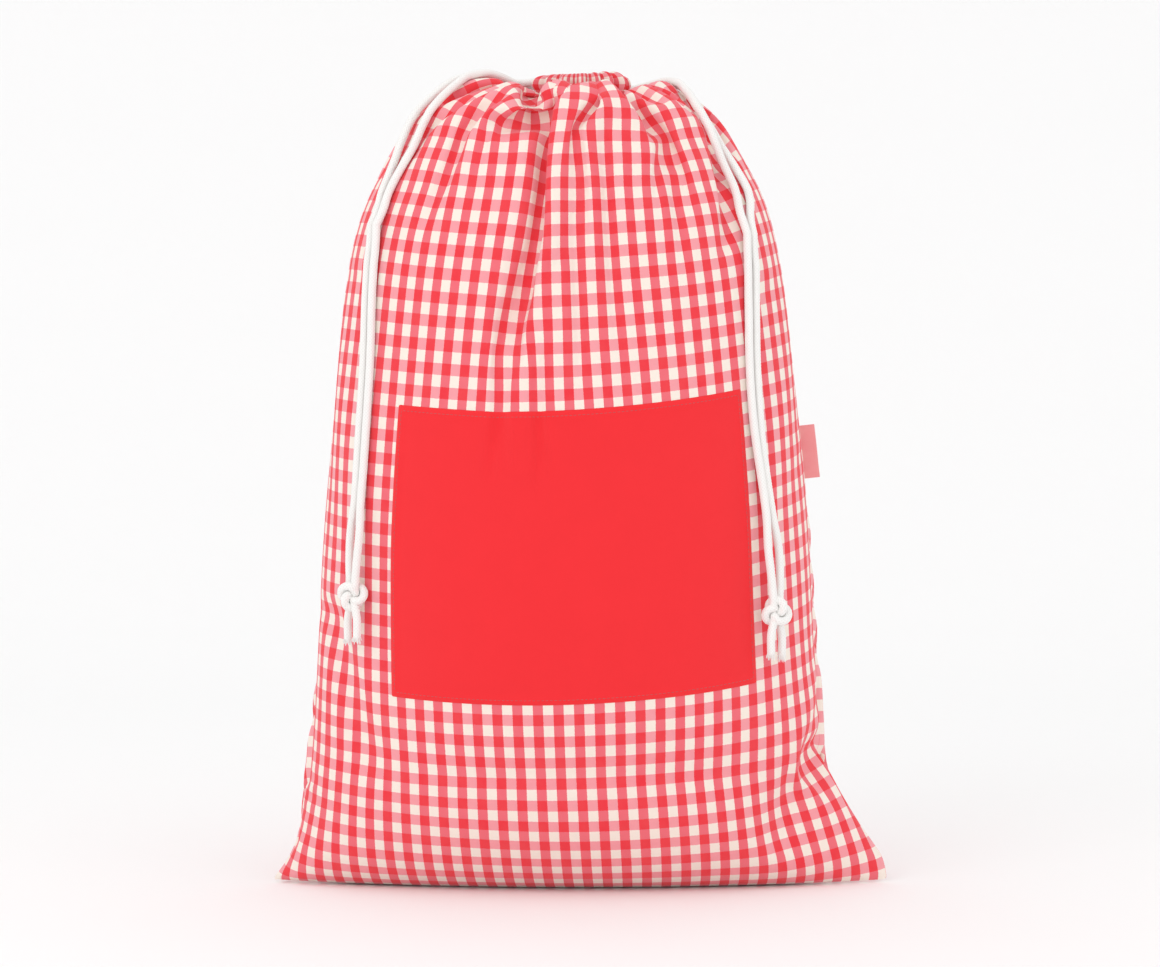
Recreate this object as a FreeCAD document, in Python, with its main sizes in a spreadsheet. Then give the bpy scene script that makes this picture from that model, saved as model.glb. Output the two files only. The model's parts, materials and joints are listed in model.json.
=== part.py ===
import FreeCAD, Part
import math
import os
import Sketcher

# A filled drawstring gift sack of checked cotton, drawn closed and standing on its base.
# The front faces -Y, +X is the viewer's right, +Z is up and z = 0 is the floor under the base.
# Lengths are in millimetres, angles in degrees.

doc = FreeCAD.newDocument("fabric_gift_sack")
sheet = doc.addObject("Spreadsheet::Sheet", "sizes")

SIZES = [
    # the sack laid flat, and the cloth and cord it is made from
    ("flat_width", "500", "width of the empty sack laid flat, ear tip to ear tip"),
    ("cloth", "1.5", "wall drawn for the cloth, its folds and its nap"),
    ("cord_radius", "3.4", "half the thickness of a drawcord"),
    ("fit", "0.1", "room left between two pieces that lie against each other"),
    ("beyond", "400", "length of a cutting block, past the sack on every side"),
    # the filled shape
    ("shoulder_line", "632", "height of the gathered cloth where the hem begins"),
    ("girth_width", "204", "half the width of the filled sack at its widest"),
    ("girth_depth", "118", "half the depth of the filled sack at its deepest"),
    ("lean", "-9", "how far the filled sack slumps to its left"),
    ("sole_height", "=0*shoulder_line", "flat patch the sack stands on"),
    ("sole_width", "=0.82*girth_width", ""),
    ("sole_depth", "=0.36*girth_depth", ""),
    ("heel_height", "=0.035*shoulder_line", "round edge under the filling"),
    ("heel_width", "=0.975*girth_width", ""),
    ("heel_depth", "=0.47*girth_depth", ""),
    ("belly_height", "=0.17*shoulder_line", "widest level"),
    ("belly_width", "=girth_width", ""),
    ("belly_depth", "=0.86*girth_depth", ""),
    ("waist_height", "=0.475*shoulder_line", "deepest level"),
    ("waist_width", "=0.945*girth_width", ""),
    ("waist_depth", "=girth_depth", ""),
    ("chest_height", "=0.71*shoulder_line", ""),
    ("chest_width", "=0.86*girth_width", ""),
    ("chest_depth", "=0.975*girth_depth", ""),
    ("shoulder_height", "=0.885*shoulder_line", "where the sides turn in to the gathers"),
    ("shoulder_width", "=0.725*girth_width", ""),
    ("shoulder_depth", "=0.92*girth_depth", ""),
    ("collar_height", "=0.966*shoulder_line", "top of the gathered slope"),
    ("collar_width", "=0.54*girth_width", ""),
    ("collar_depth", "=0.76*girth_depth", ""),
    ("neck_height", "=shoulder_line", "where the cloth runs into the hem"),
    ("neck_width", "=hem_radius + hem_outer + 3", ""),
    ("neck_depth", "=hem_radius + hem_outer + 1", ""),
    # flat ears at the two bottom corners
    ("ear_height", "=0.19*shoulder_line", "where the ear runs out into the side"),
    ("ear_root", "=girth_width - 12*cloth", "where that is, out from the middle"),
    ("ear_lift", "1", "height of the ear's lower edge above the floor"),
    ("ear_curve", "=0.6*flat_width", "radius of the ear's hollow upper edge"),
    # hem: a tunnel drawn up into a ring, open at both sides
    ("hem_radius", "36", "radius of the ring along the middle of the tunnel"),
    ("hem_level", "=cord_radius + fit", "height of a cord above or below the tunnel's middle"),
    ("hem_play", "1.1", "room beside a cord in the tunnel"),
    ("hem_inner", "=cord_radius + hem_play", "half the width inside the tunnel"),
    ("hem_outer", "=hem_inner + cloth", "half the width outside the tunnel"),
    ("hem_rise", "2", "from the gathered cloth up to the tunnel"),
    ("hem_middle", "=shoulder_line + hem_rise + hem_outer + hem_level", "height of its middle"),
    ("hem_exit", "32", "half the angle left open at each side for the cords"),
    ("cord_exit", "27", "angle from the side at which a cord leaves the ring"),
    ("cord_meet", "0.3", "angle from the side at which front and back runs meet"),
    ("thread", "0.5", "radius of a row of stitching"),
    # plain panel sewn on the front
    ("panel_left", "-148", ""),
    ("panel_width", "282", ""),
    ("panel_bottom", "148", ""),
    ("panel_height", "236", ""),
    ("panel_cloth", "1", "thickness of the panel"),
    ("panel_stitch_inset", "4", "from the panel's edge to its stitching"),
    ("panel_stitch_width", "1.2", ""),
    # sewn seams inside
    ("seam_allowance", "10", "width of the overlocked edge inside"),
    ("seam_thickness", "2.4", "two layers and the thread round them"),
    ("seam_floor", "=3*cloth", "height at which the side seams start"),
    ("seam_top", "=0.95*shoulder_line", "height at which the side seams stop"),
    # folded label in the right-hand seam
    ("label_bottom", "328", ""),
    ("label_length", "43", "along the seam"),
    ("label_reach", "16", "from the seam to the fold"),
    ("label_ply", "0.5", "thickness of the ribbon"),
    ("label_gap", "0.3", "between the two layers of ribbon"),
    ("label_clear", "1.1", "from the cloth to the ribbon"),
    # drawcords, lying over the shoulders and hanging down the front corners
    ("cord_off_cloth", "5.4", "from the cloth to the middle of a cord lying on it"),
    ("outlet_reach", "=hem_radius + cord_radius", "first bend of a strand outside the hem, sideways"),
    ("outlet_apart", "=2.6*cord_radius", "and how far it is from its neighbour's middle line"),
    ("meet_reach", "=hem_radius + 3.5*cord_radius", "where the two strands come together, sideways"),
    ("meet_apart", "=1.7*cord_radius", "and how far each is from the middle line there"),
    ("dome_reach", "=2.1*hem_radius", "where they lie on the gathered top, sideways"),
    ("dome_forward", "=4.6*cord_radius", "and how far in front of the seam"),
    ("dome_apart", "=1.5*cord_radius", "and how far each is from the middle line there"),
    ("collar_angle", "24", "where they cross the collar, from the side seam to the front"),
    ("collar_apart", "4", "and half the angle between them"),
    ("shoulder_angle", "21", "where they cross the shoulder, from the side seam to the front"),
    ("shoulder_apart", "2.2", "and half the angle between them"),
    ("strand_spacing", "7.6", "between the two strands of one cord where they hang"),
    ("strand_gap", "2.5", "from a strand on the shoulder to the hanging strand it runs into"),
    ("strand_bow", "=0.15*strand_spacing", "how far a hanging strand bows from its neighbour"),
    ("tail_splay", "=0.35*strand_spacing", "how far a cut end leans out"),
    ("knot_radius", "12", ""),
    ("knot_height", "=2.1*knot_radius", ""),
    ("tail_length", "24", "cord left below a knot"),
    ("left_hang_x", "-163", "where the left cord starts to hang"),
    ("left_hang_y", "-62", ""),
    ("left_hang_z", "530", ""),
    ("left_knot_x", "-179", ""),
    ("left_knot_y", "-81", ""),
    ("left_knot_z", "238", ""),
    ("right_hang_x", "134", "where the right cord starts to hang"),
    ("right_hang_y", "-72", ""),
    ("right_hang_z", "522", ""),
    ("right_knot_x", "154", ""),
    ("right_knot_y", "-90", ""),
    ("right_knot_z", "226", ""),
]

for row, (alias, content, note) in enumerate(SIZES, start=1):
    sheet.set(f"A{row}", alias)
    sheet.set(f"B{row}", content)
    sheet.set(f"C{row}", note)
    sheet.setAlias(f"B{row}", alias)
doc.recompute()


def size(alias):
    """Value of a named size, for shapes that are worked out in code."""
    return float(sheet.get(alias))


def bind(item, **expressions):
    """Tie properties of an object to formulas on the sheet; __ stands for a dot."""
    for name, formula in expressions.items():
        item.setExpression(name.replace("__", "."), formula)
    return item


def make(kind, name, **expressions):
    """A new object whose sizes come from the sheet."""
    return bind(doc.addObject(kind, name), **expressions)


def box(name, x, y, z, length, width, height):
    """A block given by formulas for its low corner and its three sides."""
    return make(
        "Part::Box",
        name,
        Length=length,
        Width=width,
        Height=height,
        Placement__Base__x=x,
        Placement__Base__y=y,
        Placement__Base__z=z,
    )


def cut(name, base, tool):
    """Base with tool taken away."""
    result = doc.addObject("Part::Cut", name)
    result.Base = base
    result.Tool = tool
    return result


def common(name, *shapes):
    """What all the shapes share."""
    result = doc.addObject("Part::MultiCommon", name)
    result.Shapes = list(shapes)
    return result


def fuse(name, *shapes):
    """All the shapes joined into one."""
    result = doc.addObject("Part::MultiFuse", name)
    result.Shapes = list(shapes)
    return result


def group(name, *shapes):
    """Separate solids kept together as one piece."""
    result = doc.addObject("Part::Compound", name)
    result.Links = list(shapes)
    return result


# ---- filled shape -------------------------------------------------------------------------

# Levels of the filled shape, with how far each rises when the surface is moved out by one.
LEVELS = [
    ("sole", -1.0),
    ("heel", 0.0),
    ("belly", 0.0),
    ("waist", 0.0),
    ("chest", 0.0),
    ("shoulder", 0.3),
    ("collar", 0.9),
    ("neck", 1.0),
]


def level_ring(hull_name, level, rise, offset):
    """The oval outline of the filled shape at one level, moved out by offset."""
    centre = "0 mm" if level in ("sole", "neck") else "sizes.lean * 1 mm"
    return make(
        "Part::Ellipse",
        f"{hull_name}_{level}",
        MajorRadius=f"(sizes.{level}_width + {offset}) * 1 mm",
        MinorRadius=f"(sizes.{level}_depth + {offset}) * 1 mm",
        Placement__Base__x=centre,
        Placement__Base__z=f"(sizes.{level}_height + {rise} * ({offset})) * 1 mm",
    )


def hull(name, offset):
    """The filled shape as a solid, its surface moved out by offset."""
    skin = doc.addObject("Part::Loft", name)
    skin.Sections = [level_ring(name, level, rise, offset) for level, rise in LEVELS]
    skin.Solid = True
    return skin


def ear_outline():
    """Both flat corner ears as one plate in the seam plane."""
    body = doc.addObject("PartDesign::Body", "ear_plate")
    sketch = body.newObject("Sketcher::SketchObject", "ear_outline")
    plane = [f for f in body.Origin.OriginFeatures if f.Role == "XZ_Plane"][0]
    sketch.AttachmentSupport = [(plane, "")]
    sketch.MapMode = "FlatFace"
    tip = size("flat_width") / 2
    low = size("ear_lift")
    root = size("ear_root")
    high = size("ear_height")
    radius = size("ear_curve")
    right_tip = FreeCAD.Vector(tip, low, 0)
    right_root = FreeCAD.Vector(root, high, 0)
    left_tip = FreeCAD.Vector(-tip, low, 0)
    left_root = FreeCAD.Vector(-root, high, 0)

    def hollow(first, last, side):
        chord = last - first
        across = FreeCAD.Vector(side * abs(chord.y), abs(chord.x), 0).normalize()
        sagitta = radius - math.sqrt(radius**2 - (chord.Length / 2) ** 2)
        return Part.Arc(first, (first + last) / 2 - across * sagitta, last)

    bottom = sketch.addGeometry(Part.LineSegment(left_tip, right_tip))
    right = sketch.addGeometry(hollow(right_tip, right_root, 1))
    top = sketch.addGeometry(Part.LineSegment(right_root, left_root))
    left = sketch.addGeometry(hollow(left_root, left_tip, -1))
    corners = [
        (bottom, 2, "sizes.flat_width / 2", "sizes.ear_lift"),
        (top, 1, "sizes.ear_root", "sizes.ear_height"),
        (top, 2, "-sizes.ear_root", "sizes.ear_height"),
        (bottom, 1, "-sizes.flat_width / 2", "sizes.ear_lift"),
    ]
    right_start = nearest_end(sketch, right, right_tip)
    left_start = nearest_end(sketch, left, left_root)
    sketch.addConstraint(Sketcher.Constraint("Coincident", bottom, 2, right, right_start))
    sketch.addConstraint(Sketcher.Constraint("Coincident", right, 3 - right_start, top, 1))
    sketch.addConstraint(Sketcher.Constraint("Coincident", top, 2, left, left_start))
    sketch.addConstraint(Sketcher.Constraint("Coincident", left, 3 - left_start, bottom, 1))
    for line, end, across, up in corners:
        place = sketch.getPoint(line, end)
        sideways = sketch.addConstraint(Sketcher.Constraint("DistanceX", -1, 1, line, end, place.x))
        upward = sketch.addConstraint(Sketcher.Constraint("DistanceY", -1, 1, line, end, place.y))
        sketch.setExpression(f"Constraints[{sideways}]", across)
        sketch.setExpression(f"Constraints[{upward}]", up)
    for arc in (right, left):
        bow = sketch.addConstraint(Sketcher.Constraint("Radius", arc, radius))
        sketch.setExpression(f"Constraints[{bow}]", "sizes.ear_curve")
    doc.recompute()
    pad = body.newObject("PartDesign::Pad", "ear_pad")
    pad.Profile = sketch
    pad.Midplane = True
    pad.setExpression("Length", "2 * sizes.cloth")
    return body


def nearest_end(sketch, edge, place):
    """1 when the edge starts at the place, 2 when it ends there."""
    starts_there = sketch.getPoint(edge, 1).distanceToPoint(place) < 1e-6
    return 1 if starts_there else 2


BEYOND = "sizes.beyond * 1 mm"
TWICE_BEYOND = "2 * sizes.beyond * 1 mm"
outside = hull("outside", "0")
inside = hull("inside", "-sizes.cloth")
mouth = make(
    "Part::Cylinder",
    "mouth",
    Radius="sizes.hem_radius * 1 mm",
    Height="sizes.hem_radius * 1 mm",
    Placement__Base__z="(sizes.neck_height - sizes.hem_radius / 2) * 1 mm",
)
skin = cut("skin", cut("filled_skin", fuse("eared", outside, ear_outline()), inside), mouth)
front_half = box(
    "front_half", "-" + BEYOND, "-" + BEYOND, "-1 mm", TWICE_BEYOND, BEYOND, TWICE_BEYOND
)
back_half = box("back_half", "-" + BEYOND, "0 mm", "-1 mm", TWICE_BEYOND, BEYOND, TWICE_BEYOND)
front_panel = common("front_panel", skin, front_half)
back_panel = common("back_panel", skin, back_half)


# ---- name panel and its stitching ---------------------------------------------------------

def panel_block(name, inset):
    """Block as wide and high as the name panel less an inset all round."""
    return box(
        name,
        f"(sizes.panel_left + {inset}) * 1 mm",
        "-" + BEYOND,
        f"(sizes.panel_bottom + {inset}) * 1 mm",
        f"(sizes.panel_width - 2 * ({inset})) * 1 mm",
        BEYOND,
        f"(sizes.panel_height - 2 * ({inset})) * 1 mm",
    )


panel_under = "sizes.fit"
panel_over = "sizes.fit + sizes.panel_cloth"
name_panel = common(
    "name_panel",
    cut("panel_layer", hull("panel_face", panel_over), hull("panel_rear", panel_under)),
    panel_block("panel_area", "0"),
)
stitch_inset = "sizes.panel_stitch_inset"
stitch_frame = cut(
    "stitch_frame",
    panel_block("stitch_outline", stitch_inset),
    panel_block("stitch_inline", f"{stitch_inset} + sizes.panel_stitch_width"),
)
name_panel_stitching = common(
    "name_panel_stitching",
    cut(
        "stitch_layer",
        hull("stitch_face", f"{panel_over} + sizes.fit + sizes.thread"),
        hull("stitch_rear", f"{panel_over} + sizes.fit"),
    ),
    stitch_frame,
)


# ---- overlocked seams inside --------------------------------------------------------------

seam_edge = "-sizes.cloth - sizes.fit"
seam_layer = cut(
    "seam_layer",
    hull("seam_sewn_edge", seam_edge),
    hull("seam_free_edge", f"{seam_edge} - sizes.seam_allowance"),
)


def seam_block(name, x, z, length, height):
    """Thin upright block in the seam plane."""
    across = "-sizes.seam_thickness / 2 * 1 mm"
    return box(name, x, across, z, length, "sizes.seam_thickness * 1 mm", height)


side_bottom = "(sizes.seam_floor + sizes.seam_allowance) * 1 mm"
side_height = "(sizes.seam_top - sizes.seam_floor - sizes.seam_allowance) * 1 mm"
left_seam_overlock = common(
    "left_seam_overlock",
    seam_layer,
    seam_block("left_seam_block", "-" + BEYOND, side_bottom, BEYOND, side_height),
)
right_seam_overlock = common(
    "right_seam_overlock",
    seam_layer,
    seam_block("right_seam_block", "0 mm", side_bottom, BEYOND, side_height),
)
bottom_seam_overlock = common(
    "bottom_seam_overlock",
    hull("bottom_seam_edge", seam_edge),
    seam_block(
        "bottom_seam_block",
        "-sizes.heel_width * 1 mm",
        "0 mm",
        "2 * sizes.heel_width * 1 mm",
        "(sizes.cloth + sizes.seam_allowance) * 1 mm",
    ),
)


# ---- hem tunnels --------------------------------------------------------------------------

def stadium(sketch, centre, radius, level_formula, radius_formula):
    """Upright slot outline about the sketch point centre, held by sheet formulas."""
    reach = size("hem_level")
    top = centre + FreeCAD.Vector(0, reach, 0)
    low = centre - FreeCAD.Vector(0, reach, 0)
    side = FreeCAD.Vector(radius, 0, 0)
    up = FreeCAD.Vector(0, 0, 1)
    crown = sketch.addGeometry(Part.ArcOfCircle(Part.Circle(top, up, radius), 0, math.pi))
    left = sketch.addGeometry(Part.LineSegment(top - side, low - side))
    base = sketch.addGeometry(
        Part.ArcOfCircle(Part.Circle(low, up, radius), math.pi, 2 * math.pi)
    )
    right = sketch.addGeometry(Part.LineSegment(low + side, top + side))
    for first, last in ((crown, left), (left, base), (base, right), (right, crown)):
        sketch.addConstraint(Sketcher.Constraint("Tangent", first, 2, last, 1))
    bow = sketch.addConstraint(Sketcher.Constraint("Radius", crown, radius))
    sketch.setExpression(f"Constraints[{bow}]", radius_formula)
    for arc, place, sign in ((crown, top, "+"), (base, low, "-")):
        across = sketch.addConstraint(Sketcher.Constraint("DistanceX", -1, 1, arc, 3, place.x))
        upward = sketch.addConstraint(Sketcher.Constraint("DistanceY", -1, 1, arc, 3, place.y))
        sketch.setExpression(f"Constraints[{across}]", level_formula)
        sketch.setExpression(
            f"Constraints[{upward}]", f"sizes.hem_middle {sign} sizes.hem_level"
        )


def hem_tunnel(name, side):
    """Half of the hem: a hollow tunnel bent round the mouth; side is -1 front, 1 back."""
    body = doc.addObject("PartDesign::Body", name)
    sketch = body.newObject("Sketcher::SketchObject", f"{name}_profile")
    plane = [f for f in body.Origin.OriginFeatures if f.Role == "YZ_Plane"][0]
    sketch.AttachmentSupport = [(plane, "")]
    sketch.MapMode = "FlatFace"
    centre = FreeCAD.Vector(side * size("hem_radius"), size("hem_middle"), 0)
    ring = f"{side} * sizes.hem_radius"
    stadium(sketch, centre, size("hem_outer"), ring, "sizes.hem_outer")
    stadium(sketch, centre, size("hem_inner"), ring, "sizes.hem_inner")
    doc.recompute()
    turn = body.newObject("PartDesign::Revolution", f"{name}_turn")
    turn.Profile = sketch
    turn.ReferenceAxis = (sketch, ["V_Axis"])
    turn.Midplane = True
    turn.setExpression("Angle", "180 - 2 * sizes.hem_exit")
    return body


front_hem = hem_tunnel("front_hem", -1)
back_hem = hem_tunnel("back_hem", 1)


def ring_part(name, radius, thickness, height, start, sweep):
    """Part of a round ring about the Z axis, from a start angle through a sweep."""
    return make(
        "Part::Torus",
        name,
        Radius1=f"({radius}) * 1 mm",
        Radius2=f"({thickness}) * 1 mm",
        Angle3=f"({sweep}) * 1 deg",
        Placement__Base__z=f"({height}) * 1 mm",
        Placement__Rotation__Angle=f"({start}) * 1 deg",
    )


hem_stitch_radius = "sizes.hem_radius + sizes.hem_outer + sizes.fit + sizes.thread"
hem_stitch_level = "sizes.hem_middle - sizes.hem_level"
hem_sweep = "180 - 2 * sizes.hem_exit"
front_hem_stitching = ring_part(
    "front_hem_stitching", hem_stitch_radius, "sizes.thread", hem_stitch_level,
    "180 + sizes.hem_exit", hem_sweep,
)
back_hem_stitching = ring_part(
    "back_hem_stitching", hem_stitch_radius, "sizes.thread", hem_stitch_level,
    "sizes.hem_exit", hem_sweep,
)


# ---- drawcords ----------------------------------------------------------------------------

CORDS = {
    # side of the sack, level in the tunnel
    "left": (-1, 1),
    "right": (1, -1),
}


def rope(name, points):
    """A round cord along a smooth line through the points."""
    curve = Part.BSplineCurve()
    curve.interpolate(points)
    line = Part.Wire(curve.toShape())
    start, heading = curve.value(0), curve.tangent(0)[0]
    disc = Part.Wire(Part.makeCircle(size("cord_radius"), start, heading))
    piece = doc.addObject("Part::Feature", name)
    piece.Shape = line.makePipeShell([disc], True, True)
    return piece


def round_end(name, place):
    """Ball that closes the upper end of a hanging strand on its turning point."""
    ball = doc.addObject("Part::Feature", name)
    ball.Shape = Part.makeSphere(size("cord_radius"), place)
    return ball


def over_level(cord, level, strand):
    """Where one strand lies on the cloth as it crosses a level."""
    side = CORDS[cord][0]
    out = size("cord_off_cloth")
    turn = math.radians(size(f"{level}_angle") + strand * size(f"{level}_apart"))
    return FreeCAD.Vector(
        size("lean") + side * (size(f"{level}_width") + out) * math.cos(turn),
        -(size(f"{level}_depth") + out) * math.sin(turn),
        size(f"{level}_height") + out,
    )


def cord_point(cord, what):
    """Turning point or knot of one cord."""
    return FreeCAD.Vector(*(size(f"{cord}_{what}_{axis}") for axis in "xyz"))


def along_hinge(cord):
    """Level direction along the cloth beside a cord, toward the front: it swings about this."""
    side = CORDS[cord][0]
    hang = cord_point(cord, "hang")
    outward = FreeCAD.Vector(
        (hang.x - size("lean")) / size("shoulder_width") ** 2,
        hang.y / size("shoulder_depth") ** 2,
        0,
    ).normalize()
    return FreeCAD.Vector(-outward.y, outward.x, 0) * -side


def tunnel_runs(cord):
    """The two runs of one cord inside the hem, meeting at the far side of the ring."""
    side, layer = CORDS[cord]
    height = f"sizes.hem_middle + {layer} * sizes.hem_level"
    sweep = "180 - sizes.cord_exit - sizes.cord_meet"
    near = "sizes.cord_exit"
    far = "sizes.cord_meet"
    front_start = near if side < 0 else far
    back_start = far if side < 0 else near
    front = ring_part(
        f"{cord}_cord_front_run", "sizes.hem_radius", "sizes.cord_radius", height,
        f"180 + {front_start}", sweep,
    )
    back = ring_part(
        f"{cord}_cord_back_run", "sizes.hem_radius", "sizes.cord_radius", height,
        back_start, sweep,
    )
    return [front, back]


def shoulder_strand(cord, strand):
    """One strand from the ring over the shoulder to the turning point; 1 front, -1 back."""
    side, layer = CORDS[cord]
    ring = size("hem_radius")
    radius = size("cord_radius")
    height = size("hem_middle") + layer * size("hem_level")
    leave = math.radians(size("cord_exit") - 1)
    start = FreeCAD.Vector(side * ring * math.cos(leave), -strand * ring * math.sin(leave), height)
    turn = FreeCAD.Vector(side * size("outlet_reach"), -strand * size("outlet_apart"), height)
    meet = FreeCAD.Vector(side * size("meet_reach"), -strand * size("meet_apart"), height)
    forward = size("dome_forward") + strand * size("dome_apart")
    dome = FreeCAD.Vector(side * size("dome_reach"), -forward, height - radius)
    collar = over_level(cord, "collar", strand)
    shoulder = over_level(cord, "shoulder", strand)
    end = cord_point(cord, "hang") + along_hinge(cord) * (strand * size("strand_spacing") / 2)
    end.z += radius + size("strand_gap")
    bend = end + (shoulder - end) * 0.4
    points = [start, turn, meet, dome, collar, shoulder, bend, end]
    return rope(f"{cord}_shoulder_strand_{'front' if strand > 0 else 'back'}", points)


def hanging_strand(cord, strand):
    """One strand from the turning point down to the knot, bowed away from its neighbour."""
    apart = along_hinge(cord) * strand
    top = cord_point(cord, "hang") + apart * (size("strand_spacing") / 2)
    low = cord_point(cord, "knot") + apart * (size("strand_spacing") / 2)
    low.z += size("knot_height") / 2 + size("fit")
    middle = (top + low) / 2 + apart * size("strand_bow")
    place = "front" if strand > 0 else "back"
    line = rope(f"{cord}_hanging_line_{place}", [top, middle, low])
    return fuse(f"{cord}_hanging_{place}", line, round_end(f"{cord}_round_end_{place}", top))


def knot(cord):
    """The overhand knot that joins both strands."""
    return make(
        "Part::Ellipsoid",
        f"{cord}_cord_knot",
        Radius1="sizes.knot_height / 2 * 1 mm",
        Radius2="sizes.knot_radius * 1 mm",
        Radius3="sizes.knot_radius * 1 mm",
        Angle1="-90 deg",
        Placement__Base__x=f"sizes.{cord}_knot_x * 1 mm",
        Placement__Base__y=f"sizes.{cord}_knot_y * 1 mm",
        Placement__Base__z=f"sizes.{cord}_knot_z * 1 mm",
    )


def tail(cord, strand):
    """Free end of one strand below the knot."""
    apart = along_hinge(cord) * strand
    top = cord_point(cord, "knot") + apart * (size("strand_spacing") / 2)
    top.z -= size("knot_height") / 2 + size("fit")
    low = top + apart * size("tail_splay") - FreeCAD.Vector(0, 0, size("tail_length"))
    return rope(f"{cord}_tail_{'front' if strand > 0 else 'back'}", [top, low])


STRANDS = (1, -1)
cord_pieces = []
for cord in CORDS:
    cord_pieces += tunnel_runs(cord)
    shoulder = [shoulder_strand(cord, strand) for strand in STRANDS]
    hanging = [hanging_strand(cord, strand) for strand in STRANDS]
    tails = [tail(cord, strand) for strand in STRANDS]
    cord_pieces.append(group(f"{cord}_cord_shoulder_strands", *shoulder))
    cord_pieces.append(group(f"{cord}_cord_hanging_strands", *hanging))
    cord_pieces.append(knot(cord))
    cord_pieces.append(group(f"{cord}_cord_tails", *tails))
doc.recompute()


# ---- side label ---------------------------------------------------------------------------

def right_edge(height):
    """How far the filled shape reaches to the right at a height."""
    slice_wires = outside.Shape.slice(FreeCAD.Vector(0, 0, 1), height)
    return max(wire.BoundBox.XMax for wire in slice_wires)


def folded_ribbon():
    """Ribbon folded in half, its fold outward and its two cut ends in the side seam."""
    thickness = "(2 * sizes.label_ply + sizes.label_gap) * 1 mm"
    whole = box(
        "ribbon", "0 mm", "-(sizes.label_ply + sizes.label_gap / 2) * 1 mm", "0 mm",
        "sizes.label_reach * 1 mm", thickness, "sizes.label_length * 1 mm",
    )
    gap = box(
        "ribbon_gap", "-1 mm", "-sizes.label_gap / 2 * 1 mm", "-1 mm",
        "(sizes.label_reach - sizes.label_ply + 1) * 1 mm", "sizes.label_gap * 1 mm",
        "(sizes.label_length + 2) * 1 mm",
    )
    ribbon = cut("side_label", whole, gap)
    low, length = size("label_bottom"), size("label_length")
    low_edge, high_edge = right_edge(low), right_edge(low + length)
    tilt = math.degrees(math.atan2(high_edge - low_edge, length))
    ribbon.Placement = FreeCAD.Placement(
        FreeCAD.Vector(low_edge + size("label_clear"), 0, low),
        FreeCAD.Rotation(FreeCAD.Vector(0, 1, 0), tilt),
    )
    return ribbon


side_label = folded_ribbon()
doc.recompute()


# ---- check and write ----------------------------------------------------------------------

pieces = [
    front_panel,
    back_panel,
    name_panel,
    name_panel_stitching,
    front_hem,
    back_hem,
    front_hem_stitching,
    back_hem_stitching,
    left_seam_overlock,
    right_seam_overlock,
    bottom_seam_overlock,
    side_label,
] + cord_pieces

faulty = [item.Name for item in doc.Objects if {"Invalid", "Error"} & set(item.State)]
if faulty:
    raise RuntimeError(f"objects that did not build: {faulty}")

os.makedirs("parts", exist_ok=True)
for piece in pieces:
    piece.Label = piece.Name
    if piece.Shape.isNull() or not piece.Shape.isValid() or not piece.Shape.Solids:
        raise RuntimeError(f"{piece.Name} has no sound solid")
    piece.Shape.exportStep(f"parts/{piece.Name}.step")
    print(piece.Name, len(piece.Shape.Solids), round(piece.Shape.Volume))
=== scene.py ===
import json
import math

import bmesh
import bpy
import numpy as np
from mathutils import Matrix, Vector
from mathutils.bvhtree import BVHTree
from numpy.lib.stride_tricks import sliding_window_view


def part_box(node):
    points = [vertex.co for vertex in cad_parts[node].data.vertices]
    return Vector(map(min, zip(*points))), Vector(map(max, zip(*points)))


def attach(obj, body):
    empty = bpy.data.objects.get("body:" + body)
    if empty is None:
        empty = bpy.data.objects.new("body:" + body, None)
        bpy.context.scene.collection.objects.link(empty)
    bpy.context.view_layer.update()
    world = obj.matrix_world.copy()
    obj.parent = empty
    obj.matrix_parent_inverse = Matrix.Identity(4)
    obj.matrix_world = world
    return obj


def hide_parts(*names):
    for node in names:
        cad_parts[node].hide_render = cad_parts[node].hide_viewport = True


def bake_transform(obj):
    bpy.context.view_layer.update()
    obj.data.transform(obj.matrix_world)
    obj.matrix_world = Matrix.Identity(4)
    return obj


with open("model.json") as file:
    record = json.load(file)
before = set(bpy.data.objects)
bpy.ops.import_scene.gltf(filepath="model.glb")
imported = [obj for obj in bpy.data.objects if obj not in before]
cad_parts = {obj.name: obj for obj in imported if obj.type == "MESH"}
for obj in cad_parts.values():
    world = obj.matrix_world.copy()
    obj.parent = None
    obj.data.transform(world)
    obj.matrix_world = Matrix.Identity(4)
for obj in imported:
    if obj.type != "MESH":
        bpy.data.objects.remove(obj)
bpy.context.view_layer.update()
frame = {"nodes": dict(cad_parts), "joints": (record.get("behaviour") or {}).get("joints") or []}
MM = 0.001

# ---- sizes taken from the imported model, in metres ------------------------------------------

JOINTS = {joint["name"]: joint for joint in frame["joints"]}
sack_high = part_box("front_panel")[1]
hem_low, hem_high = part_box("front_hem")
run_low, run_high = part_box("left_cord_front_run")
panel_low, panel_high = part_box("name_panel")
label_low, label_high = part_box("side_label")
EAR_TIP = sack_high.x
NECK = sack_high.z
HEM_TOP = hem_high.z
HEM_MIDDLE = (hem_low.z + hem_high.z) / 2
CORD_RADIUS = (run_high.z - run_low.z) / 2
HEM_RADIUS = -run_low.y - CORD_RADIUS
LEAN = (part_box("left_seam_overlock")[0].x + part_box("right_seam_overlock")[1].x) / 2


# ---- the filled shape, read off the CAD shells ---------------------------------------------

def search_tree(*objects):
    """Search tree over the triangles of some meshes."""
    mesh = bmesh.new()
    for item in objects:
        mesh.from_mesh(item.data)
    tree = BVHTree.FromBMesh(mesh)
    mesh.free()
    return tree


SHELL = search_tree(frame["nodes"]["front_panel"], frame["nodes"]["back_panel"])
LEVELS = np.linspace(1 * MM, NECK - 1 * MM, 80)
# sideways rays pass in front of the seam, so they meet the front shell and not its edge
BESIDE_SEAM = -3 * MM


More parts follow.
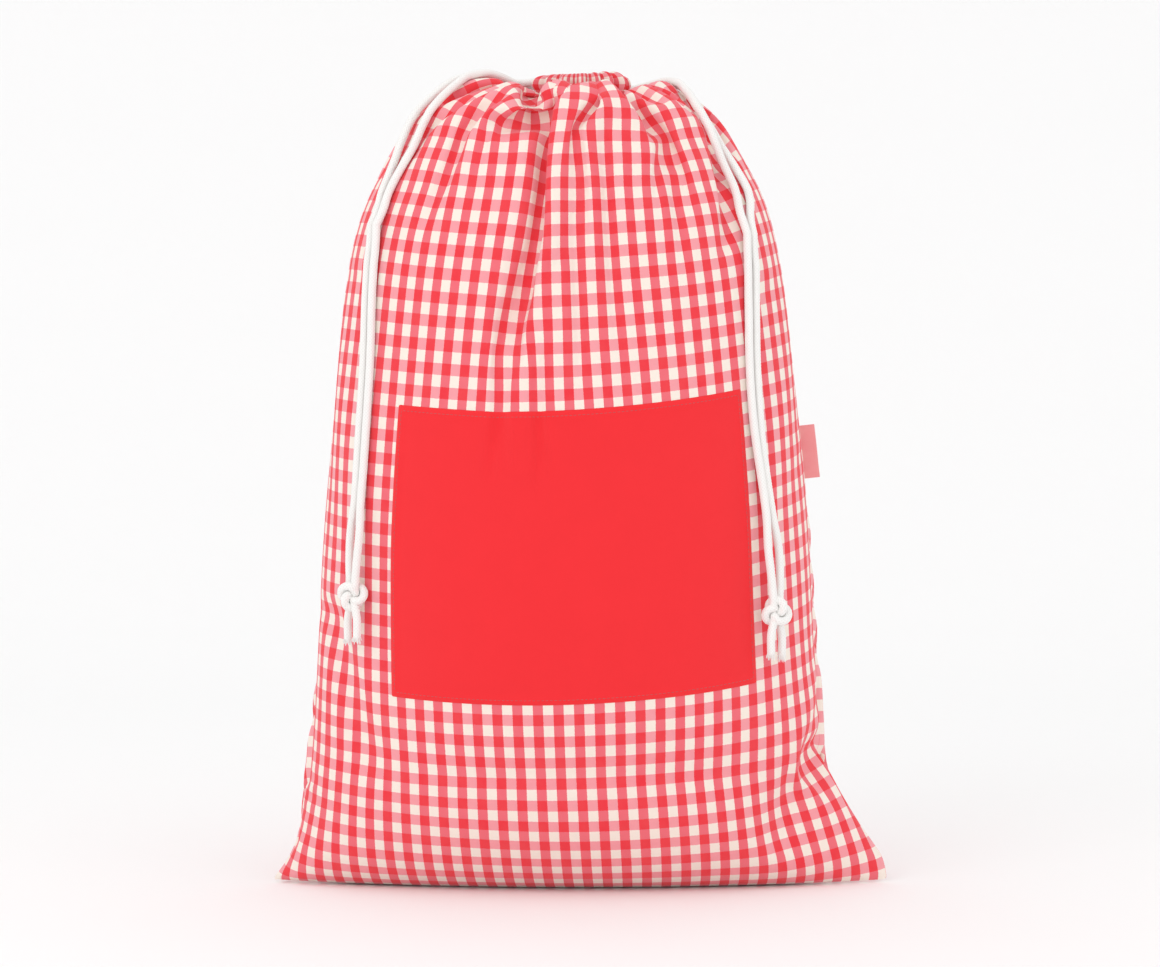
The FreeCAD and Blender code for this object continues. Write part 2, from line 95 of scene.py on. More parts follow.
def side_reach(level):
    """How far the filled shape extends sideways at one height."""
    hit = SHELL.ray_cast(Vector((2 * EAR_TIP, BESIDE_SEAM, level)), Vector((-1, 0, 0)))[0]
    return hit.x - LEAN


def front_reach(level):
    """How far the filled shape extends to the front at one height."""
    hit = SHELL.ray_cast(Vector((LEAN, -2 * EAR_TIP, level)), Vector((0, 1, 0)))[0]
    return -hit.y


HALF_WIDTHS = np.array([side_reach(level) for level in LEVELS])
HALF_DEPTHS = np.array([front_reach(level) for level in LEVELS])
# the cloth swells a little just below the gathers
SWELL = 1 + 0.13 * np.exp(-(((LEVELS - NECK + 11 * MM) / (13 * MM)) ** 2))
HALF_WIDTHS *= SWELL
HALF_DEPTHS *= SWELL


def half_sizes(level):
    """Half width and half depth of the filled shape at each given height."""
    return np.interp(level, LEVELS, HALF_WIDTHS), np.interp(level, LEVELS, HALF_DEPTHS)


# ---- the cloth: one grid sewn into a tube, wrapped round the filling ------------------------

# The sack laid flat, and one repeat of its check.
FLAT_WIDTH = 2 * EAR_TIP
FLAT_HEIGHT = 1.4 * FLAT_WIDTH
REPEAT_ACROSS = FLAT_WIDTH / 32.5
REPEAT_UP = FLAT_HEIGHT / 40

# The grid: columns run round the tube from the left seam by way of the front, rows run up.
COLUMNS = 192
HALF = COLUMNS // 2
ROWS = 121
PINNED_ROWS = 2

# The shape the cloth starts from. Shares are shares of the way up a column.
PLEATS = 22
PLEAT_DEPTH = 13 * MM
GATHER_FOOT = 0.82
GATHER_SHARE = 0.18
SEAM_LIFT = 2 * MM
SEAM_FORWARD = 36 * MM
SEAM_SHARE = 0.08
EAR_SHARE = 0.16
SLUMP_SHARES = (0.15, 0.12)
ROW_TILT = 0.06
CLOTH_EASE = 1.004

# Settling: strength of the springs, pressure and weight as a move for each step, and how much
# of a fault one pass mends.
STEPS = 80
PASSES = 6
DRIFT_KEPT = 0.9
STIFF = 0.9
SHEAR = 0.2
BEND = 0.06
PUFF = 0.04 * MM
SAG = np.array([0, 0, -0.01 * MM])
FILLING_GIVE = 0.5
FLOOR_LAYER = 4 * MM
LAYER = 0.5 * MM

# How far the cloth may stand off the filling at each height.
ROOM_LEVELS = np.array([0, 60, 95, 560, 610, 640]) * MM
ROOM = np.array([80, 30, 6, 6, 14, 40]) * MM

# The crown of cloth that billows up round the gathers: its half width and half depth, where it
# begins, and its height from its middle to its rim.
CROWN_WIDTH = 124 * MM
CROWN_DEPTH = 106 * MM
CROWN_FOOT = NECK - 40 * MM
CROWN_SHARES = [0.30, 0.42, 0.56, 0.66, 0.78, 1.0]
CROWN_HEIGHTS = NECK + np.array([-2, 3, 3, -3, -16, -36]) * MM

# Edges of the two flat ears: distance out from the slumped middle, and height. Front and back
# stay apart up to EAR_TOP.
EAR_TOP = 60 * MM
LEFT_EAR = [(EAR_TIP, SEAM_LIFT), (225 * MM, 36 * MM), (212 * MM, 85 * MM)]
RIGHT_EAR = [
    (EAR_TIP, SEAM_LIFT),
    (247 * MM, 19 * MM),
    (237 * MM, 36 * MM),
    (217 * MM, 66 * MM),
    (201 * MM, 100 * MM),
]

# Creases and bulges of the front, in mm: line of (x, z), half width, depth (minus for a bulge).
CREASES = [
    ([(-32, 636), (-31, 560), (-36, 510), (-54, 440)], 7, 50),
    ([(-12, 636), (-12, 560), (-17, 500)], 10, -18),
    ([(30, 640), (52, 600), (66, 575)], 6, 8),
    ([(90, 622), (106, 590), (110, 560), (116, 520)], 8, 9),
    ([(-62, 606), (-46, 602), (-34, 606)], 7, 14),
    ([(-198, 222), (-184, 165), (-174, 108)], 8, 6),
    ([(190, 112), (164, 74), (158, 44)], 8, 8),
    ([(-160, 560), (-163, 500)], 24, -6),
    ([(130, 555), (134, 495)], 24, -8),
]


def run_along(*axes):
    """Length along a path given by its coordinates, from 0 at its first point."""
    steps = np.sqrt(sum(np.diff(axis, axis=0) ** 2 for axis in axes))
    return np.concatenate([np.zeros_like(steps[:1]), np.cumsum(steps, axis=0)])


def even_turns(ratio):
    """Angles round an oval that space its points evenly; ratio is depth over width."""
    fine = np.linspace(0, 2 * math.pi, 4001)
    run = run_along(np.cos(fine), ratio * np.sin(fine))
    return np.interp(np.arange(COLUMNS) / COLUMNS * run[-1], run, fine)


TURN = even_turns(0.6)


def smooth_step(value):
    """Soft change from 0 to 1 as value goes from 0 to 1."""
    held = np.clip(value, 0, 1)
    return held * held * (3 - 2 * held)


def gathers():
    """Uneven gathers round the mouth: 0 in a valley, 1 on a ridge, one value per column."""
    uneven = 0.9 * np.sin(3 * TURN + 1.0) + 0.7 * np.sin(5 * TURN + 2.0)
    return 0.5 - 0.5 * np.cos(PLEATS * TURN + uneven)


def spread_along(share, out, up):
    """Points of a path (out, up) at given shares of its length."""
    run = run_along(out, up)
    return np.interp(share * run[-1], run, out), np.interp(share * run[-1], run, up)


def edge_path(share, ear):
    """Side seam: up the edge of an ear, then up the filled shape to the mouth."""
    side = LEVELS > ear[-1][1]
    out = np.concatenate([[place[0] for place in ear], HALF_WIDTHS[side], [HEM_RADIUS]])
    up = np.concatenate([[place[1] for place in ear], LEVELS[side], [NECK]])
    return spread_along(share, out, up)


def middle_path(share, first):
    """Middle of a panel: from the bottom seam, first metres out, up to the mouth."""
    out = np.concatenate([[first], HALF_DEPTHS, [HEM_RADIUS]])
    up = np.concatenate([[SEAM_LIFT / 2], LEVELS, [NECK]])
    return spread_along(share, out, up)


def wrapped(fold):
    """Cloth wrapped round the filling and slumped to one side, each point moved out by fold."""
    share = np.linspace(0, 1, ROWS)
    # columns are evenly spaced along the straight bottom seam, and round an oval higher up
    number = np.arange(COLUMNS)
    ahead = (number <= HALF)[None, :]
    straight = 1 - 2 * np.where(number <= HALF, number, COLUMNS - number) / HALF
    bottom = smooth_step(1 - share[:, None] / EAR_SHARE)
    across = (1 - bottom) * np.cos(TURN) + bottom * straight
    forward = np.sqrt(np.maximum(1 - across**2, 0)) * np.where(ahead, 1, -1)
    left, left_up = (path[:, None] for path in edge_path(share, LEFT_EAR))
    right, right_up = (path[:, None] for path in edge_path(share, RIGHT_EAR))
    front, front_up = (path[:, None] for path in middle_path(share, SEAM_FORWARD))
    back, back_up = (path[:, None] for path in middle_path(share, -SEAM_FORWARD))
    width = np.where(across > 0, left, right)
    width_up = np.where(across > 0, left_up, right_up)
    depth = np.where(ahead, front, back)
    depth_up = np.where(ahead, front_up, back_up)
    # the bottom seam bows forward in its middle and runs back to the ear tips
    seam = smooth_step(1 - share[:, None] / SEAM_SHARE)
    depth = depth * (1 - seam + seam * np.abs(forward))
    sideways = np.abs(across) ** 3
    up = depth_up * (1 - sideways) + width_up * sideways
    low_share, high_share = SLUMP_SHARES
    slump = LEAN * smooth_step(share / low_share) * smooth_step((1 - share) / high_share)
    x = slump[:, None] - across * (width + fold)
    y = -forward * (depth + fold)
    up = up + ROW_TILT * x * np.sin(math.pi * share)[:, None]
    return np.stack([x, y, up], axis=-1)


def start_shape():
    """Wrapped cloth with its gathers, before it settles."""
    rise = np.clip((np.linspace(0, 1, ROWS) - GATHER_FOOT) / GATHER_SHARE, 0, 1)[:, None]
    broad = np.cos(PLEATS / 2 * TURN + 0.8 * np.sin(2 * TURN) + 0.5)
    narrow = CORD_RADIUS + gathers() * PLEAT_DEPTH
    # broad folds up to 3 mm deep half way up the gathers, narrow ones toward the hem
    return wrapped(rise**3 * narrow + rise * (1 - rise) * 4 * broad * 3 * MM)


def cut_lengths():
    """Length of cloth from each row to the next: as in the wrapped shape, eased a little."""
    steps = np.diff(run_along(*np.moveaxis(wrapped(0), -1, 0)), axis=0)
    smoothed = sum(np.roll(steps, shift, axis=1) for shift in range(-2, 3)) / 5
    return smoothed * CLOTH_EASE


def spring_batches():
    """Springs of the cloth in batches that touch each point once: (a, b, length, strength)."""
    index = np.arange(ROWS * COLUMNS).reshape(ROWS, COLUMNS)
    step_across = 2 * FLAT_WIDTH / COLUMNS
    step_up = cut_lengths()
    batches = []

    def add(a, b, length, strength):
        lengths = np.broadcast_to(length, a.shape).reshape(-1, 1)
        batches.append((a.ravel(), b.ravel(), lengths, strength))

    def across(stride, strength):
        other = np.roll(index, -stride, axis=1)
        batch = (np.arange(COLUMNS) // stride) % 2
        for pick in (0, 1):
            chosen = batch == pick
            add(index[:, chosen], other[:, chosen], stride * step_across, strength)

    def upward(stride, strength):
        rows = np.arange(ROWS - stride)
        for pick in (0, 1):
            chosen = rows[(rows // stride) % 2 == pick]
            add(index[chosen], index[chosen + stride], stride * step_up[chosen], strength)

    def slanted(strength):
        for shift in (-1, 1):
            other = np.roll(index, shift, axis=1)
            for pick in (0, 1):
                rows = np.arange(pick, ROWS - 1, 2)
                add(index[rows], other[rows + 1], np.hypot(step_across, step_up[rows]), strength)

    across(2, BEND)
    upward(2, BEND)
    slanted(SHEAR)
    across(1, STIFF)
    upward(1, STIFF)
    return batches


def outward_normals(grid):
    """Unit normals of the cloth grid, pointing away from the filling."""
    around = np.roll(grid, -1, axis=1) - np.roll(grid, 1, axis=1)
    normal = np.cross(around, np.gradient(grid, axis=0))
    return normal / np.maximum(np.linalg.norm(normal, axis=2, keepdims=True), 1e-9)


def crease_depths(grid):
    """How deep each point of the front may sink into the filling; minus where it bulges."""
    depth = np.zeros(grid.shape[:2])
    spot = grid[..., [0, 2]]
    for line, width, deep in CREASES:
        corners = np.array(line) * MM
        nearest = np.full(depth.shape, np.inf)
        for first, last in zip(corners[:-1], corners[1:]):
            along = last - first
            part = np.clip(((spot - first) @ along) / (along @ along), 0, 1)[..., None]
            nearest = np.minimum(nearest, np.linalg.norm(spot - first - part * along, axis=2))
        depth += deep * MM * np.exp(-((nearest / (width * MM)) ** 2))
    return np.where(grid[..., 1] < 0, depth, 0)


def keep_on_filling(grid, dents):
    """Move cloth part of the way out of the filling, back near it, and up onto the crown."""
    up = grid[..., 2]
    width, depth = half_sizes(up)
    x = grid[..., 0] - LEAN
    y = grid[..., 1]
    inside = np.maximum(np.hypot(x / width, y / depth), 0.2)
    limit = 1 - dents / depth
    held = (inside < limit) & (up > FLOOR_LAYER) & (up < NECK)
    push = np.where(held, (limit / inside - 1) * FILLING_GIVE, 0)
    # cloth that stands off too far is drawn back
    reach = np.hypot(x, y)
    furthest = reach / inside + np.interp(up, ROOM_LEVELS, ROOM)
    pull = np.where(reach > furthest, (furthest / reach - 1) * FILLING_GIVE, 0)
    grid[..., 0] += x * (push + pull)
    grid[..., 1] += y * (push + pull)
    share = np.hypot(x / CROWN_WIDTH, y / CROWN_DEPTH)
    crown = np.interp(share, CROWN_SHARES, CROWN_HEIGHTS) - 0.6 * np.maximum(dents, 0)
    top = (up > CROWN_FOOT) & (share < 1) & (up < crown)
    grid[..., 2] = np.where(top, up + (crown - up) * FILLING_GIVE, up)


def keep_sewn(grid, start):
    """Hold the seams, keep front before back in the ears and stay off the floor."""
    grid[0] = start[0]
    grid[:, [0, HALF]] = start[:, [0, HALF]]
    fade = np.clip(1 - grid[1:, :, 2] / EAR_TOP, 0, 1)
    between = start[0, :, 1] * fade
    front, back = grid[1:, 1:HALF, 1], grid[1:, HALF + 1 :, 1]
    np.minimum(front, between[:, 1:HALF] - LAYER, out=front)
    np.maximum(back, between[:, HALF + 1 :] + LAYER, out=back)
    np.maximum(grid[..., 2], LAYER, out=grid[..., 2])


def settle(start):
    """The cloth relaxed round the filling, on the floor, with its gathered edge held."""
    batches = spring_batches()
    free = np.ones((ROWS, COLUMNS, 1))
    free[-PINNED_ROWS:] = 0
    free[:, [0, HALF]] = 0
    weight = free.reshape(-1, 1)
    dents = crease_depths(start)
    # creases are drawn in where the rest is puffed out
    press = PUFF * (1 - 8 * np.clip(dents / (10 * MM), 0, 1))[..., None]
    place = start.reshape(-1, 3).copy()
    before = place.copy()
    for _ in range(STEPS):
        drift = (place - before) * DRIFT_KEPT
        before = place.copy()
        push = (outward_normals(place.reshape(start.shape)) * press).reshape(-1, 3)
        place = place + weight * (drift + push + SAG)
        for _ in range(PASSES):
            for a, b, length, strength in batches:
                gap = place[b] - place[a]
                now = np.maximum(np.linalg.norm(gap, axis=1, keepdims=True), LAYER / 10)
                wa, wb = weight[a], weight[b]
                pull = gap * (strength * (now - length) / (now * np.maximum(wa + wb, 1)))
                place[a] += wa * pull
                place[b] -= wb * pull
            grid = place.reshape(start.shape)
            keep_on_filling(grid, dents)
            keep_sewn(grid, start)
    return place.reshape(start.shape)


cloth = start_shape()
cloth = settle(cloth)
cloth_out = outward_normals(cloth)


# ---- mesh helpers ---------------------------------------------------------------------------

def new_piece(name, points, faces, material):
    """A smooth-shaded mesh object with one material."""
    mesh = bpy.data.meshes.new(name)
    mesh.from_pydata([tuple(point) for point in points], [], faces)
    mesh.materials.append(material)
    mesh.polygons.foreach_set("use_smooth", [True] * len(mesh.polygons))
    piece = bpy.data.objects.new(name, mesh)
    bpy.context.scene.collection.objects.link(piece)
    return piece


def set_uv(piece, flat):
    """Give each vertex its place on the flat material."""
    mesh = piece.data
    layer = mesh.uv_layers.new(name="cloth")
    corners = np.zeros(len(mesh.loops), np.int32)
    mesh.loops.foreach_get("vertex_index", corners)
    layer.data.foreach_set("uv", np.asarray(flat, dtype=float)[corners].ravel())


def grid_faces(rows, columns, wrap=False):
    """Faces of a grid of points stored row by row."""
    last = columns if wrap else columns - 1
    return [
        (
            r * columns + c,
            r * columns + (c + 1) % columns,
            (r + 1) * columns + (c + 1) % columns,
            (r + 1) * columns + c,
        )
        for r in range(rows - 1)
        for c in range(last)
    ]


def refine(piece, levels=1):
    """Subdivide a piece smoothly."""
    modifier = piece.modifiers.new("refine", "SUBSURF")
    modifier.levels = levels
    modifier.render_levels = levels


# ---- materials ------------------------------------------------------------------------------

class Shader:
    """Builds a node material step by step around one Principled surface."""

    def __init__(self, name, roughness, sheen):
        self.material = bpy.data.materials.new(name)
        self.material.use_nodes = True
        self.tree = self.material.node_tree
        self.surface = self.tree.nodes["Principled BSDF"]
        self.surface.inputs["Roughness"].default_value = roughness
        self.surface.inputs["Sheen Weight"].default_value = sheen
        self.surface.inputs["Specular IOR Level"].default_value = 0.2

    def node(self, kind, **settings):
        made = self.tree.nodes.new(kind)
        for key, value in settings.items():
            setattr(made, key, value)
        return made

    def feed(self, socket, value):
        if isinstance(value, bpy.types.NodeSocket):
            self.tree.links.new(value, socket)
        else:
            socket.default_value = value

    def math(self, operation, first, second=0.0, third=0.0):
        made = self.node("ShaderNodeMath", operation=operation)
        self.feed(made.inputs[0], first)
        self.feed(made.inputs[1], second)
        self.feed(made.inputs[2], third)
        return made.outputs[0]

    def mix(self, share, first, second):
        made = self.node("ShaderNodeMix", data_type="RGBA")
        self.feed(made.inputs[0], share)
        self.feed(made.inputs[6], first)
        self.feed(made.inputs[7], second)
        return made.outputs[2]

    def flat_place(self):
        split = self.node("ShaderNodeSeparateXYZ")
        self.feed(split.inputs[0], self.node("ShaderNodeUVMap", uv_map="cloth").outputs[0])
        return split.outputs[0], split.outputs[1]

    def noise(self, scale, detail=2.0):
        place = self.node("ShaderNodeTexCoord").outputs["Object"]
        made = self.node("ShaderNodeTexNoise")
        self.feed(made.inputs["Vector"], place)
        made.inputs["Scale"].default_value = scale
        made.inputs["Detail"].default_value = detail
        return made.outputs["Fac"]

    def ridges(self, place, per_unit):
        """Rounded ridges, 0 in a groove and 1 on top, so many per unit of place."""
        wave = self.math("SINE", self.math("MULTIPLY", place, 2 * math.pi * per_unit))
        return self.math("MULTIPLY_ADD", wave, 0.5, 0.5)

    def finish(self, colour, height=None, depth=0.0):
        self.feed(self.surface.inputs["Base Color"], colour)
        if height is not None:
            bump = self.node("ShaderNodeBump")
            bump.inputs["Distance"].default_value = depth
            bump.inputs["Strength"].default_value = 1.0
            self.feed(bump.inputs["Height"], height)
            self.feed(self.surface.inputs["Normal"], bump.outputs[0])
        return self.material


CREAM = (0.93, 0.83, 0.74, 1)
RED = (0.86, 0.026, 0.045, 1)
SALMON = (0.86, 0.14, 0.18, 1)
PINK = (0.91, 0.33, 0.37, 1)
PLAIN_RED = (0.90, 0.026, 0.034, 1)
SLUB_RED = (0.78, 0.02, 0.025, 1)
THREAD_RED = (0.55, 0.02, 0.028, 1)
OFF_WHITE = (0.96, 0.95, 0.93, 1)
# CORD_SHADE is painted shade for the grooves of the braid
CORD_SHADE = (0.72, 0.68, 0.64, 1)
RIBBON = (0.86, 0.30, 0.31, 1)
# RIBBON_SHINE is a painted sheen for the satin
RIBBON_SHINE = (0.92, 0.45, 0.45, 1)


def weave(shader, across, up, per_unit):
    """Height of a plain weave: crossing ridges of yarn."""
    over = shader.ridges(across, per_unit)
    under = shader.ridges(up, per_unit)
    return shader.math("MULTIPLY", over, under)


def checked_cotton():
    """Woven check: red and cream yarn bands crossing, with two half tones."""
    shader = Shader("checked_cotton", 0.85, 0.15)
    across, up = shader.flat_place()
    wobble = shader.math("MULTIPLY", shader.noise(900, 1), 0.03)
    bands = []
    for place in (across, up):
        part = shader.math("FRACT", shader.math("ADD", place, wobble))
        bands.append(shader.math("GREATER_THAN", part, 0.5))
    red_column, red_row = bands
    cream_column_tones = shader.mix(red_row, CREAM, PINK)
    red_column_tones = shader.mix(red_row, SALMON, RED)
    woven = shader.mix(red_column, cream_column_tones, red_column_tones)
    fade = shader.math("MULTIPLY", shader.noise(60, 4), 0.06)
    return shader.finish(shader.mix(fade, woven, CREAM), weave(shader, across, up, 24), 0.1 * MM)


def plain_cotton():
    """Solid red plain weave with faint thick and thin yarns."""
    shader = Shader("plain_red_cotton", 0.8, 0.2)
    across, up = shader.flat_place()
    slub = shader.math("MULTIPLY", shader.noise(45, 5), 0.3)
    colour = shader.mix(slub, PLAIN_RED, SLUB_RED)
    return shader.finish(colour, weave(shader, across, up, 28), 0.08 * MM)


def braided_cord():
    """Off-white cotton braid: slanting yarns crossing round the cord, with painted shade in the
    grooves between them.
    """
    shader = Shader("cotton_cord", 0.9, 0.3)
    around, along = shader.flat_place()
    leftward = shader.ridges(shader.math("ADD", around, along), 8)
    rightward = shader.ridges(shader.math("SUBTRACT", around, along), 8)
    height = shader.math("MAXIMUM", leftward, rightward)
    # painted shade: the grooves between the yarns are drawn darker, toward CORD_SHADE
    shade = shader.math("MULTIPLY", shader.math("SUBTRACT", 1.0, height), 0.35)
    return shader.finish(shader.mix(shade, OFF_WHITE, CORD_SHADE), height, 0.3 * MM)


def thread(name, colour):
    """Sewing thread, its colour a little uneven."""
    shader = Shader(name, 0.6, 0.2)
    shade = shader.math("MULTIPLY", shader.noise(2500, 1), 0.15)
    return shader.finish(shader.mix(shade, colour, OFF_WHITE))


def satin_ribbon():
    """Pink ribbon with fine ribs, and patches of painted sheen in a lighter pink."""
    shader = Shader("ribbon", 0.45, 0.3)
    _, up = shader.flat_place()
    # painted sheen: noise lays patches of the lighter RIBBON_SHINE over the pink
    shade = shader.math("MULTIPLY", shader.noise(200, 3), 0.3)
    return shader.finish(
        shader.mix(shade, RIBBON, RIBBON_SHINE), shader.ridges(up, 45), 0.1 * MM
    )


CHECKED = checked_cotton()
PLAIN = plain_cotton()
CORD = braided_cord()
RED_THREAD = thread("red_thread", THREAD_RED)
WHITE_THREAD = thread("overlock_thread", OFF_WHITE)
SATIN = satin_ribbon()


# ---- cloth panels and hem -------------------------------------------------------------------

SIDES = {
    "front": np.arange(0, HALF + 1),
    "back": np.arange(HALF, COLUMNS + 1) % COLUMNS,
}
# The hem stops HEM_GAP degrees from the side seams, where the cords leave, and its fold comes
# down by FOLD_DROP over the last HEM_END degrees.
HEM_GAP = 30
HEM_END = 25
HEM_CLOTH = 75 * MM
FOLD_WAVE = 2.5 * MM
FOLD_DROP = 2.2 * MM
FOLD_ROOM = 1.5 * MM
RIDGE_LIFT = 2 * MM
FOLD_SWINGS = np.radians(np.linspace(-50, 230, 15))


def flat_grid(rows_up, numbers):
    """Places on the check for rows at given flat heights and columns counted from a seam."""
    across = (np.asarray(numbers) / HALF - 0.5) * FLAT_WIDTH / REPEAT_ACROSS + 0.25
    up = np.asarray(rows_up) / REPEAT_UP
    return np.stack(np.meshgrid(across, up), axis=-1).reshape(-1, 2)


def mouth_blend(piece):
    """Bakes the piece's placement into its points."""
    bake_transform(piece)


def panel_cloth(side):
    """The settled cloth of one side."""
    columns = SIDES[side]
    points = cloth[:, columns].reshape(-1, 3)
    faces = grid_faces(ROWS, len(columns))
    piece = new_piece(f"{side}_panel_cloth", points, faces, CHECKED)
    set_uv(piece, flat_grid(np.linspace(0, FLAT_HEIGHT, ROWS), np.arange(len(columns))))
    refine(piece)
    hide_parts(f"{side}_panel")
    mouth_blend(piece)


def hem_loop(column):
    """Points of the folded hem over one column, from its outer foot over to its inner foot."""
    turn = TURN[column]
    ridge = gathers()[column]
    lift = FOLD_WAVE * math.sin(2 * turn + 2.2) * ridge + RIDGE_LIFT * (ridge - 0.5)
    reach = CORD_RADIUS + FOLD_ROOM + PLEAT_DEPTH * ridge * 0.9
    from_side = math.degrees(math.acos(abs(math.cos(turn))))
    near_hole = 1 - smooth_step((from_side - HEM_GAP) / HEM_END)
    half_height = HEM_TOP - HEM_MIDDLE + lift - FOLD_DROP * near_hole
    outward = np.array([-math.cos(turn), -math.sin(turn), 0])
    loop = [cloth[-1, column]]
    for swing in FOLD_SWINGS:
        out = HEM_RADIUS + reach * math.cos(swing)
        loop.append(outward * out + np.array([0, 0, HEM_MIDDLE + half_height * math.sin(swing)]))
    return loop


def hem_cloth(side):
    """The hem of one side: cloth folded over the cords and drawn into gathers."""
    columns = SIDES[side]
    numbers = np.nonzero(np.abs(np.cos(TURN[columns])) < math.cos(math.radians(HEM_GAP)))[0]
    loops = np.array([hem_loop(columns[number]) for number in numbers]).transpose(1, 0, 2)
    faces = grid_faces(loops.shape[0], len(numbers))
    piece = new_piece(
        f"{side}_hem_cloth", loops.reshape(-1, 3), faces, CHECKED
    )
    set_uv(piece, flat_grid(FLAT_HEIGHT + np.linspace(0, HEM_CLOTH, loops.shape[0]), numbers))
    refine(piece)
    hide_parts(f"{side}_hem")
    mouth_blend(piece)


for side in SIDES:
    panel_cloth(side)
    hem_cloth(side)


# ---- things sewn to the cloth ---------------------------------------------------------------

def on_cloth(column, row):
    """Place and outward direction at fractional columns and rows of the settled cloth."""
    left = np.floor(column).astype(int)
    low = np.clip(np.floor(row).astype(int), 0, ROWS - 2)
    part = (column - left)[..., None]
    rise = (row - low)[..., None]

    def between(field):
        near, far = left % COLUMNS, (left + 1) % COLUMNS
        below = field[low, near] * (1 - part) + field[low, far] * part
        above = field[low + 1, near] * (1 - part) + field[low + 1, far] * part
        return below * (1 - rise) + above * rise

    out = between(cloth_out)
    return between(cloth), out / np.linalg.norm(out, axis=-1, keepdims=True)


def front_column_at(x, row):
    """Fractional column of the front where the settled cloth crosses x on a row."""
    return float(np.interp(x, cloth[row, : HALF + 1, 0], np.arange(HALF + 1)))


def front_row_at(z, column):
    """Fractional row where the settled cloth reaches a height on a front column."""
    return float(np.interp(z, cloth[:, column, 2], np.arange(ROWS)))


# the foot is higher than in the CAD model: the fuller cloth is nearer to the camera
PANEL_FOOT = panel_low.z + 8 * MM
PANEL_ROWS = tuple(front_row_at(level, HALF // 2) for level in (PANEL_FOOT, panel_high.z))
PANEL_COLUMNS = tuple(
    front_column_at(x, int(sum(PANEL_ROWS) / 2)) for x in (panel_low.x, panel_high.x)
)

PANEL_GRID = (109, 91)
PANEL_HEIGHTS = {"edge": 0.2 * MM, "turned": 1.5 * MM, "middle": 1.1 * MM}
TURNED_POINTS = 3


def name_panel():
    """Plain panel with its edges turned under, lying on the front cloth."""
    across, up = PANEL_GRID
    columns, rows = np.meshgrid(
        np.linspace(*PANEL_COLUMNS, across), np.linspace(*PANEL_ROWS, up)
    )
    place, out = on_cloth(columns, rows)
    from_side = np.minimum(np.arange(across), np.arange(across)[::-1])
    from_end = np.minimum(np.arange(up), np.arange(up)[::-1])
    from_edge = np.minimum(from_side[None, :], from_end[:, None])
    lift = np.full(from_edge.shape, PANEL_HEIGHTS["middle"])
    lift[from_edge < TURNED_POINTS] = PANEL_HEIGHTS["turned"]
    lift[from_edge == 0] = PANEL_HEIGHTS["edge"]
    points = (place + out * lift[..., None]).reshape(-1, 3)
    piece = new_piece(
        "name_panel_cloth", points, grid_faces(up, across), PLAIN
    )
    set_uv(piece, np.stack([columns / 3, rows / 3], axis=-1).reshape(-1, 2))
    refine(piece)
    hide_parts("name_panel")
    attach(piece, "sack")


def slivers(name, ends, ups, radius, material, sides=6):
    """Short separate threads, each thick in its middle, from pairs of end points."""
    angles = np.arange(sides) / sides * 2 * math.pi
    points, faces = [], []
    for (first, last), up in zip(ends, ups):
        across = np.cross(last - first, up)
        across = across / max(np.linalg.norm(across), 1e-9)
        circle = np.cos(angles)[:, None] * across + np.sin(angles)[:, None] * up
        base = len(points)
        for share, thick in ((0.0, 0.25), (0.2, 0.95), (0.8, 0.95), (1.0, 0.25)):
            points.extend(first + (last - first) * share + circle * radius * thick)
        faces += [
            tuple(base + corner for corner in face) for face in grid_faces(4, sides, wrap=True)
        ]
        faces.append(tuple(base + corner for corner in reversed(range(sides))))
        faces.append(tuple(base + 3 * sides + corner for corner in range(sides)))
    return new_piece(name, points, faces, material)


def sewn_row(name, line, ups, pitch, length, radius, material, slot):
    """Separate stitches along a line; ups holds the outward direction at each point."""
    run = run_along(*line.T)

    def at(spot, field):
        return np.array([np.interp(spot, run, field[:, axis]) for axis in range(3)])

    starts = np.arange(pitch / 2, run[-1] - length, pitch)
    ends = [(at(start, line), at(start + length, line)) for start in starts]
    return slivers(name, ends, [at(start, ups) for start in starts], radius, material)


STITCH = {"pitch": 3.4 * MM, "length": 2.5 * MM, "radius": 0.3 * MM}


def name_panel_stitches():
    """Stitches all round the name panel, just inside its edge."""
    inset = 0.7
    left, right = PANEL_COLUMNS[0] + inset, PANEL_COLUMNS[1] - inset
    low, high = PANEL_ROWS[0] + inset, PANEL_ROWS[1] - inset
    corners = [(left, low), (right, low), (right, high), (left, high), (left, low)]
    track = np.concatenate(
        [np.linspace(first, last, 80) for first, last in zip(corners[:-1], corners[1:])]
    )
    place, out = on_cloth(track[:, 0], track[:, 1])
    line = place + out * 1.4 * MM
    piece = sewn_row(
        "name_panel_stitches", line, out, material=RED_THREAD, slot="red_thread", **STITCH
    )
    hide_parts("name_panel_stitching")
    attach(piece, "sack")


def hem_stitches(side):
    """Stitches that close the foot of the hem, running in and out of the gathers."""
    columns = SIDES[side][4:-4]
    row = -PINNED_ROWS - 1
    line = cloth[row, columns] + cloth_out[row, columns] * 0.4 * MM
    piece = sewn_row(
        f"{side}_hem_stitches", line, cloth_out[row, columns],
        material=RED_THREAD, slot="red_thread", **STITCH,
    )
    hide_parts(f"{side}_hem_stitching")
    mouth_blend(piece)


name_panel()
name_panel_stitches()
for side in SIDES:
    hem_stitches(side)


# ---- drawcords ------------------------------------------------------------------------------

SPACING = 1.2 * MM
CORD_SIDES = 20
BRAID_STRANDS = 4
CORDS = {"left": (-1, 1), "right": (1, -1)}
CORD_LEVEL = CORD_RADIUS + 0.1 * MM
EXIT_ANGLE = 27
STRAND_APART = 3.8 * MM
YARNS = 26
YARN_RADIUS = 0.35 * MM


def even_spacing(line, spacing):
    """The same line with its points an even distance apart."""
    run = run_along(*line.T)
    count = max(int(round(run[-1] / spacing)), 2)
    spots = np.linspace(0, run[-1], count + 1)
    return np.stack([np.interp(spots, run, line[:, axis]) for axis in range(3)], axis=1)


